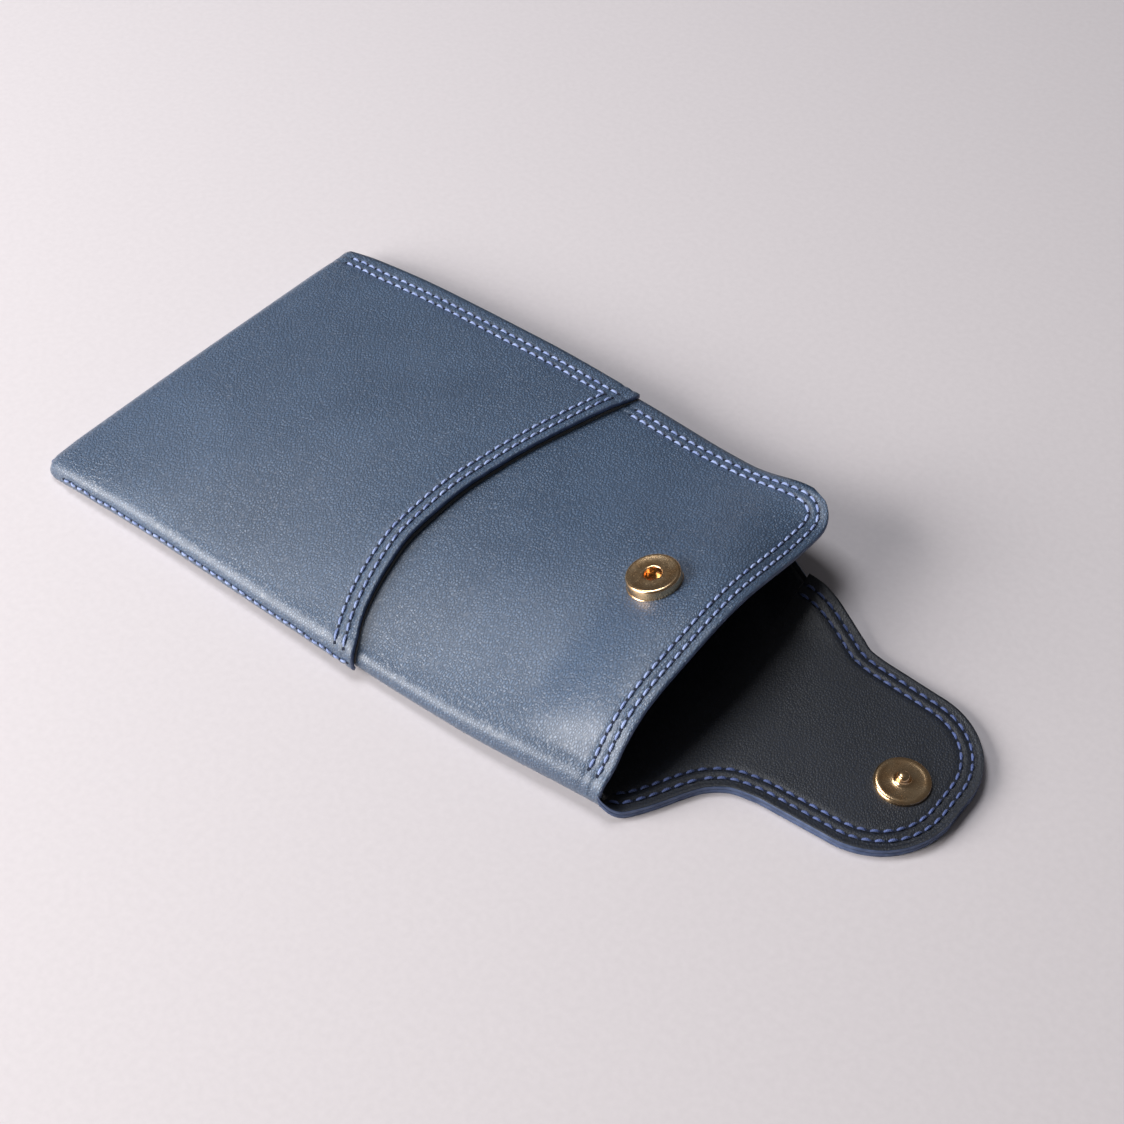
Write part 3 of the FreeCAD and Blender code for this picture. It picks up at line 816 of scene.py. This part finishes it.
# ---------------------------------------------------------------- slip pocket
def pocket_stand(gap, u):
    """How far the slip pocket stands off the front: most along its scooped edge."""
    open_edge = np.exp(-(np.maximum(gap, 0) / 11) ** 2)
    return 0.75 * open_edge * ease(u / 0.05 + 0.25) * ease((1 - u) / 0.10) + 0.1


def pocket_face(x, u, gap):
    """The slip pocket's inner face over the body, and its leather's thickness."""
    wave = waves(x + 40, u * front_arc(x) + 25, 0.38) * ease((1 - u) * 12)
    wave = wave * ease((x - 6) / 25) * ease(u * 12)
    under = POCKET_AIR + np.maximum(pocket_stand(gap, u) + wave * 0.6, 0.0)
    return under, POCKET_LEATHER * (1 - 0.45 * ease((0.004 - u) / 0.024))


POCKET_U0 = -0.013              # it wraps this far round the fold
POCKET_V0 = -1.1                # and this far round the bottom edge
LEFT_ROW = 0.60                 # the row along the fold, at its widest line
V_SCOOP = SCOOP_X[0] + V_SHIFT
u_pocket = marks(POCKET_U0, 1.0, 0.0125, front_spots() + [(POCKET_U0, 0.07)], fine=0.0045)
v_pocket = np.concatenate([np.linspace(POCKET_V0, ROUND_LENGTH, 10)[:-1],
                           marks(ROUND_LENGTH, V_SCOOP, 1.3,
                                 [(V_SCOOP - 8.5, V_SCOOP)], fine=0.45)])
vp, up = np.meshgrid(v_pocket, u_pocket, indexing="ij")
edge_x = scoop_x_at(np.clip(up, 0, 1))
vp = vp - (SCOOP_X[0] - edge_x) * ease((vp - V_SCOOP + 45) / 45)
px = vp - V_SHIFT
scoop_slope = np.gradient(scoop_x_at(np.clip(u_pocket, 0, 1)),
                          u_pocket * front_arc(SCOOP_LEVEL))
to_scoop = (edge_x - px) / np.sqrt(1 + scoop_slope ** 2)[None, :]
to_side = (1 - up) * front_arc(px) - side_inset(px)
pocket_rows = np.minimum.reduce([nearest_row(to_scoop), nearest_row(to_side),
                                 np.abs(up * front_arc(px) - LEFT_ROW) + 0.15])
pocket_base, pocket_thick = pocket_face(px, up, to_scoop)
pocket_out = skin(vp, up, pocket_base + pocket_thick + groove(pocket_rows))[0]
pocket_in = skin(vp, up, pocket_base)[0]
pocket_out[..., 2] = np.maximum(pocket_out[..., 2], 0.05)
pocket_in[..., 2] = np.maximum(pocket_in[..., 2], 0.04)
pocket = sheet("slip_pocket_leather", pocket_out, pocket_in, [PEBBLED, LINING, EDGE],
               all_rims(*vp.shape), bulge=0.2)
on_pouch(pocket, ("pocket_leather",))

# Black lining glued inside the slip pocket. It shows a little past the scoop, so that its black
# stands in for the shadow in the gap under the pocket's edge: partly the real lining, partly
# painted shade.
SHADE_LINE_STEP = -0.12             # painted shade: the lining shows this much past the scoop
vl = vp - SHADE_LINE_STEP * ease((vp - 60) / 30)
ul = np.clip(up, 0.004, 0.992)
pocket_cloth = sheet("slip_pocket_lining", skin(vl, ul, pocket_base - 0.02)[0],
                     skin(vl, ul, 0.12)[0], [LINING, LINING, LINING],
                     all_rims(*vp.shape), bulge=0.0)
on_pouch(pocket_cloth, ("pocket_lining",))

# ---------------------------------------------------------------- flap
def flap_sides():
    """The flap's outline as one flat line, from the fold round the tip and back."""
    bend_left, bend_right = NECK[0] + 1, NECK[1] - 1
    first, last = (np.stack([xs, smooth_line(*np.transpose(shoulder), xs)], 1)
                   for shoulder in (LEFT_SHOULDER, RIGHT_SHOULDER)
                   for xs in [np.linspace(LENGTH, shoulder[-1][0], 60)])
    turn = np.radians(np.linspace(-90, 0, 40))
    across, out = TAB_CORNER * (1 + np.sin(turn)), TAB_BEND + TAB_CORNER * np.cos(turn)
    corner = np.stack([out, bend_left + across], 1)
    other = np.stack([out, bend_right - across], 1)[::-1]
    whole = np.concatenate([first, corner, other, last[::-1]])
    return at_distances(whole, np.linspace(0, far_along(whole)[-1], 700))


OUTLINE = flap_sides()
TIP = int(np.argmax(OUTLINE[:, 0] - 0.001 * np.abs(OUTLINE[:, 1] - RIGHT[0] / 2)))


def flap_edges(x):
    """Left and right y of the flap at each x."""
    left = np.interp(x, OUTLINE[:TIP + 1, 0], OUTLINE[:TIP + 1, 1])
    right = np.interp(x, OUTLINE[TIP:, 0][::-1], OUTLINE[TIP:, 1][::-1])
    return left, right


def flap_lift(x, y):
    """The flap's height off the table: it still follows the fold and the lifted seam
    side near the mouth, and its tip curls up a little."""
    past = x - LENGTH
    left = np.clip(LEFT[-1] + FOLD[-1] - y, 0, FOLD[-1]) / FOLD[-1]
    by_fold = FOLD[-1] * (1 - np.sqrt(1 - left ** 2)) * (1 - ease(past / 7))
    seam_side = np.clip((y - BACK_RIGHT[-1] + BACK_MARGIN) / BACK_MARGIN, 0, 1.1)
    by_seam = BACK_TOP[-1] * seam_side ** 2 * (1 - ease(past / 22))
    curl = 0.9 * np.clip((x - 222) / 10, 0, 1) ** 2
    return by_fold + by_seam + curl + 0.05


def outline_distance(x, y):
    flat = np.stack([np.ravel(x), np.ravel(y)], 1)
    best = np.full(len(flat), 1e9)
    for part in np.array_split(OUTLINE, 20):
        gap = np.linalg.norm(flat[:, None, :] - part[None, :, :], axis=2).min(axis=1)
        best = np.minimum(best, gap)
    return best.reshape(np.shape(x))


def flap_sheet(name, x_places, low, high, materials, rims, edge_bulge, face_down):
    """One layer of the flap between two heights, with its good side down or up."""
    columns = marks(0.0, 1.0, 0.0125, [(0.0, 0.16), (0.84, 1.0)], fine=0.0075)
    x, t = np.meshgrid(x_places, columns, indexing="ij")
    left, right = flap_edges(x)
    y = left + (right - left) * t
    lift = flap_lift(x, y)
    distance = outline_distance(x, y)
    rows = groove(nearest_row(distance))
    crease = -0.10 * np.exp(-((distance - 1.3) / 0.35) ** 2)
    worn = 0.10 * waves(x * 1.4, y * 1.2, 1.0) * ease(distance / 8)
    top = lift + high + (0 if face_down else 1) * (rows + crease + worn)
    under = lift + low - (rows * (lift + low > 0.3) if face_down else 0)
    upper = np.stack([x, y, top], -1)
    lower = np.stack([x, y, np.maximum(under, 0.04)], -1)
    grids = (lower, upper) if face_down else (upper, lower)
    count = len(x_places)
    names = {"u0": ("u0", 0, count), "u1": ("u1", 0, count), "v1": ("v1", 0, len(columns))}
    return sheet(name, *grids, materials, [names[r] for r in rims], bulge=edge_bulge)


near_x = marks(LENGTH, FLAP_SPLIT, 0.6, [], fine=0.6)
sweep = np.linspace(0, 1, 26)
far_x = np.concatenate([marks(FLAP_SPLIT, TAB_BEND + 6, 0.7, [], fine=0.7)[:-1],
                        TAB_BEND + 6 + (TAB_CORNER - 6) * np.sin(sweep * math.pi / 2)])


def bend_near(piece):
    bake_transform(piece)


def bend_far(piece):
    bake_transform(piece)


HIDE, FACE = (0.0, FLAP_LEATHER), (FLAP_LEATHER + 0.06, FLAP_THICK)
flap_parts = [
    ("flap_leather_neck", near_x, HIDE, PEBBLED, bend_near, "outer_leather",
     ("bridge_leather",)),
    ("flap_leather_tab", far_x, HIDE, PEBBLED, bend_far, "outer_leather",
     ("tab_leather", "tab_stiffener")),
    ("flap_facing_neck", near_x, FACE, FACING, bend_near, "facing_leather",
     ("bridge_facing",)),
    ("flap_facing_tab", far_x, FACE, FACING, bend_far, "facing_leather", ("tab_facing",)),
]
for name, places, (low, high), skin_side, bend, slot, nodes in flap_parts:
    rims = ["u0", "u1"] + (["v1"] if places is far_x else [])
    piece = flap_sheet(name, places, low, high, [skin_side, FLESH, EDGE], rims, 0.16,
                       face_down=skin_side is PEBBLED)
    bend(piece)
    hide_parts(*nodes)

# The facing carries on a little way inside the mouth, over the back's lining.
FACING_INSIDE = 26.0
vf = np.linspace(LENGTH - FACING_INSIDE, LENGTH, 34) + V_SHIFT
uf = -marks(0.01, 0.985, 0.0125, [], fine=0.0125)[::-1]
vf, uf = np.meshgrid(vf, uf, indexing="ij")
inside_top = skin(vf, uf, -FLAP_THICK - 0.1)[0]
inside_under = skin(vf, uf, -WALL + 0.05)[0]
inside = sheet("mouth_facing", inside_top, inside_under, [FACING, FLESH, DARK_EDGE],
               [("v0", 0, vf.shape[1]), ("u0", 0, vf.shape[0]), ("u1", 0, vf.shape[0])],
               bulge=0.0)
on_pouch(inside)

# ---------------------------------------------------------------- stitching
PALE = [THREAD_MAT, HOLE_MAT]
DIM = [DIM_THREAD, HOLE_MAT]
corner_x = LENGTH - LIP_CORNER
LIP_ROW_END = 5.0               # the lip's rows stop this far from the fold


def edge_path(distance, first_x):
    """A row beside the sewn edge, round the free corner and along the lip, as x and e."""
    side_x = np.linspace(first_x, corner_x, 90)
    side_part = np.stack([side_x, distance + side_inset(side_x)], 1)
    turn = np.radians(np.linspace(0, 90, 24))
    r = LIP_CORNER - distance
    corner = np.stack([corner_x + r * np.sin(turn), LIP_CORNER - r * np.cos(turn)], 1)
    lip_e = np.linspace(LIP_CORNER, FRONT_ARC[-1] - LIP_ROW_END, 120)
    lip = np.stack([np.full_like(lip_e, LENGTH - distance), lip_e], 1)
    return np.concatenate([side_part, corner[1:-1], lip])


def put_body(flat, height):
    x, e = flat[:, 0], flat[:, 1]
    arc = front_arc(x)
    out = waves(x, arc - e, 0.30) * ease((x - 6) / 20) * ease(e / arc * 14)
    return on_front(x, arc - e, out - SUNK + height)


body_rows = stitches("front_edge_stitches", [edge_path(r, 104.6) for r in ROWS], put_body, PALE)
on_pouch(body_rows, nodes=("side_seam_threads", "mouth_threads"))


def put_pocket(flat, height):
    x, s = flat[:, 0], flat[:, 1]
    u = s / front_arc(x)
    under, thick = pocket_face(x, u, scoop_x_at(np.clip(u, 0, 1)) - x)
    return on_front(x, s, under + thick - SUNK + height)


def pocket_side_path(distance):
    xs = np.linspace(5.5, 101.0 - distance, 120)
    return np.stack([xs, front_arc(xs) - distance - side_inset(xs)], 1)


def scoop_path(distance):
    u = np.linspace(0.03, 0.985, 300)
    width = front_arc(SCOOP_LEVEL)
    moved = moved_line(np.stack([scoop_x_at(u), u * width], 1), distance)
    return moved[(moved[:, 1] < width - ROWS[1] - 1.5) & (moved[:, 1] > 2.5)]


pocket_rows_piece = stitches("pocket_edge_stitches",
                             [pocket_side_path(r) for r in ROWS]
                             + [scoop_path(r) for r in ROWS], put_pocket, PALE)
on_pouch(pocket_rows_piece, nodes=("pocket_scoop_threads",))
left_xs = np.linspace(7.0, 99.0, 200)
left_row = stitches("pocket_fold_stitches", [np.stack([left_xs, np.full(200, LEFT_ROW)], 1)],
                    put_pocket, PALE, pitch=POCKET_PITCH, thread=POCKET_THREAD)
on_pouch(left_row, nodes=("pocket_side_threads",))


def back_path(distance):
    xs = np.linspace(5.5, SEAM_END - 1, 120)
    return np.stack([xs, np.full(120, distance)], 1)


def put_back(flat, height):
    x, e = flat[:, 0], flat[:, 1]
    return skin(x + V_SHIFT, -(1 - e / back_arc(x)), height - SUNK)


back_rows = stitches("back_edge_stitches", [back_path(r) for r in ROWS], put_back, PALE)
on_pouch(back_rows)


def flap_paths(distance, low_x, high_x):
    """The rows beside the flap's outline, kept between two distances along it."""
    moved = moved_line(OUTLINE, distance)
    clear = outline_distance(moved[:, 0], moved[:, 1]) > distance - 0.08
    runs, run = [], []
    for point, good in zip(moved, clear & (moved[:, 0] >= low_x) & (moved[:, 0] <= high_x)):
        if good:
            run.append(point)
        elif run:
            runs.append(np.array(run))
            run = []
    if run:
        runs.append(np.array(run))
    return [r for r in runs if len(r) > 8]


def put_flap(flat, z, way):
    up = np.tile([0.0, 0.0, way], (len(flat), 1))
    return np.stack([flat[:, 0], flat[:, 1], z], 1), up


def put_flap_top(flat, height):
    return put_flap(flat, flap_lift(*flat.T) + FLAP_THICK - SUNK + height, 1.0)


def put_flap_under(flat, height):
    return put_flap(flat, np.maximum(flap_lift(*flat.T) + 0.14 - height, TABLE_GAP), -1.0)


for face, put in (("facing", put_flap_top), ("outer", put_flap_under)):
    for part, low_x, high_x, bend in (("neck", LENGTH + 0.5, FLAP_SPLIT - 0.2, bend_near),
                                      ("tab", FLAP_SPLIT + 0.2, REACH, bend_far)):
        paths = [p for r in ROWS for p in flap_paths(r, low_x, high_x)]
        rows_piece = stitches(f"flap_{face}_stitches_{part}", paths, put, DIM)
        bend(rows_piece)
        if face == "facing":
            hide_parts("bridge_threads" if part == "neck" else "tab_threads")


# ---------------------------------------------------------------- snap
def turned_piece(name, profile, mat, segments=72):
    """A piece turned on a lathe: profile lists radius and height in mm."""
    points, faces = [], []
    for radius, high in profile:
        for k in range(segments):
            turn = math.tau * k / segments
            points.append((radius * math.cos(turn), radius * math.sin(turn), high))
    for i in range(len(profile) - 1):
        for k in range(segments):
            n = (k + 1) % segments
            faces.append((i * segments + k, i * segments + n,
                          (i + 1) * segments + n, (i + 1) * segments + k))
    return new_object(name, np.array(points) * MM, faces, [0] * len(faces), [mat],
                      merge=1e-7, crisp=math.radians(38))


def box_middle(node):
    low, high = (np.array(corner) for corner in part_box(node))
    return (low + high) / 2


SOCKET_TALL = 3.2
lean = math.radians(SNAP_LEAN)
cap_axis = np.array([-math.sin(lean), 0, math.cos(lean)])
socket_base = box_middle("snap_socket_cap") - cap_axis * SOCKET_TALL / 2 * MM

CAP_PROFILE = [(2.05, 1.4), (2.05, 2.5), (2.1, 2.7), (2.2, 2.84), (2.35, 2.91), (2.6, 2.92),
               (3.2, 2.88), (4.2, 2.9), (5.1, 2.97), (5.6, 3.04), (5.9, 3.06), (6.15, 2.99),
               (6.36, 2.82), (6.48, 2.55), (6.54, 2.2), (6.56, 1.0), (6.56, 0.35), (6.75, 0.18),
               (6.8, 0.02), (6.6, -0.12), (5.9, -0.12), (5.9, 0.4), (6.0, 2.4), (2.7, 2.3),
               (2.5, 1.4), (2.05, 1.4)]
cap = turned_piece("snap_socket", CAP_PROFILE, GOLD)
cap.location = Vector(socket_base) + Vector(CAP_SHIFT) * MM
cap.rotation_euler = Euler((math.radians(CAP_ROLL), -lean, 0))
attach(cap, "mouth_front")
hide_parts("snap_socket_cap")

STUD_PROFILE = [(0.0, 3.05), (0.6, 3.03), (1.05, 2.9), (1.35, 2.6), (1.5, 2.1), (1.75, 1.5),
                (2.0, 1.15), (2.35, 1.02), (3.2, 1.0), (4.4, 0.94), (4.9, 1.0), (5.3, 1.06),
                (5.8, 1.02), (6.2, 0.88), (6.42, 0.6), (6.5, 0.3), (6.5, 0.0), (6.0, -0.1),
                (0.0, -0.1)]
stud = turned_piece("snap_stud", STUD_PROFILE, GOLD)
stud.location = Vector((*box_middle("snap_stud_plate")[:2], FLAP_THICK * MM))
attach(stud, "flap_tab")
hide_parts("snap_stud_plate", "snap_stud_post")

# The magnet is plated too: its face is what shows down in the socket.
for node, mat in (("snap_magnet", GOLD), ("snap_socket_plate", GOLD),
                  ("snap_socket_washer", STEEL), ("snap_stud_washer", STEEL)):
    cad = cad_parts[node]
    cad.data.materials.clear()
    cad.data.materials.append(mat)

# ---------------------------------------------------------------- table, light, camera
def studio_floor():
    """Matt paper sweep: pale warm grey with a barely visible tooth, drawn at about 1.7 mm
    so that it shows."""
    mat, tree, shader = material("paper_sweep", Roughness=0.85, Specular_IOR_Level=0.25)
    where = add(tree, "ShaderNodeTexCoord").outputs["Object"]
    tooth = add(tree, "ShaderNodeTexNoise", {"Scale": 600.0, "Detail": 3.0}, Vector=where)
    colour = add(tree, "ShaderNodeValToRGB", {"stops": [(0.3, "#DCD6D8"), (0.7, "#E0DADC")]},
                 Fac=tooth.outputs["Fac"])
    join(tree, shader, Base_Color=colour.outputs["Color"])
    size = 1.6
    corners = [(-size, -size, 0), (size, -size, 0), (size, size, 0), (-size, size, 0)]
    new_object("floor", corners, [(0, 1, 2, 3)], [0], [mat])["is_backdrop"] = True


studio_floor()


def soft_box(name, place, target, size, power, colour):
    light = bpy.data.lights.new(name, "AREA")
    light.shape = "RECTANGLE"
    light.size, light.size_y = size
    light.energy = power
    light.color = srgb(colour)[:3]
    obj = bpy.data.objects.new(name, light)
    obj.location = place
    obj.rotation_euler = (Vector(target) - Vector(place)).to_track_quat("-Z", "Y").to_euler()
    bpy.context.scene.collection.objects.link(obj)


# A low window lights the face across its grain; a small high light shines on the flank.
soft_box("window_side", (-0.56, -0.82, 0.46), (0, 0, 0.01), (0.9, 0.6), 18.5, "#FFFCFA")
soft_box("high_side", (-0.46, 0.08, 1.0), (0, 0, 0), (0.45, 0.45), 5.6, "#F8FAFF")

world = bpy.data.worlds.new("studio")
bpy.context.scene.world = world
world.use_nodes = True
world.node_tree.nodes["Background"].inputs["Color"].default_value = srgb("#E4E2E6")
world.node_tree.nodes["Background"].inputs["Strength"].default_value = 0.09

camera_data = bpy.data.cameras.new("camera")
camera_data.sensor_width = 36.0
camera_data.lens = 64.06
camera_data.clip_start = 0.01
camera = bpy.data.objects.new("camera", camera_data)
camera.location = (0.20055, -0.24809, 0.36291)
camera.rotation_euler = Euler((math.radians(41.66), 0.0, math.radians(38.38)))
bpy.context.scene.collection.objects.link(camera)
bpy.context.scene.camera = camera
bpy.context.scene.view_settings.view_transform = "Standard"

low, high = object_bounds()
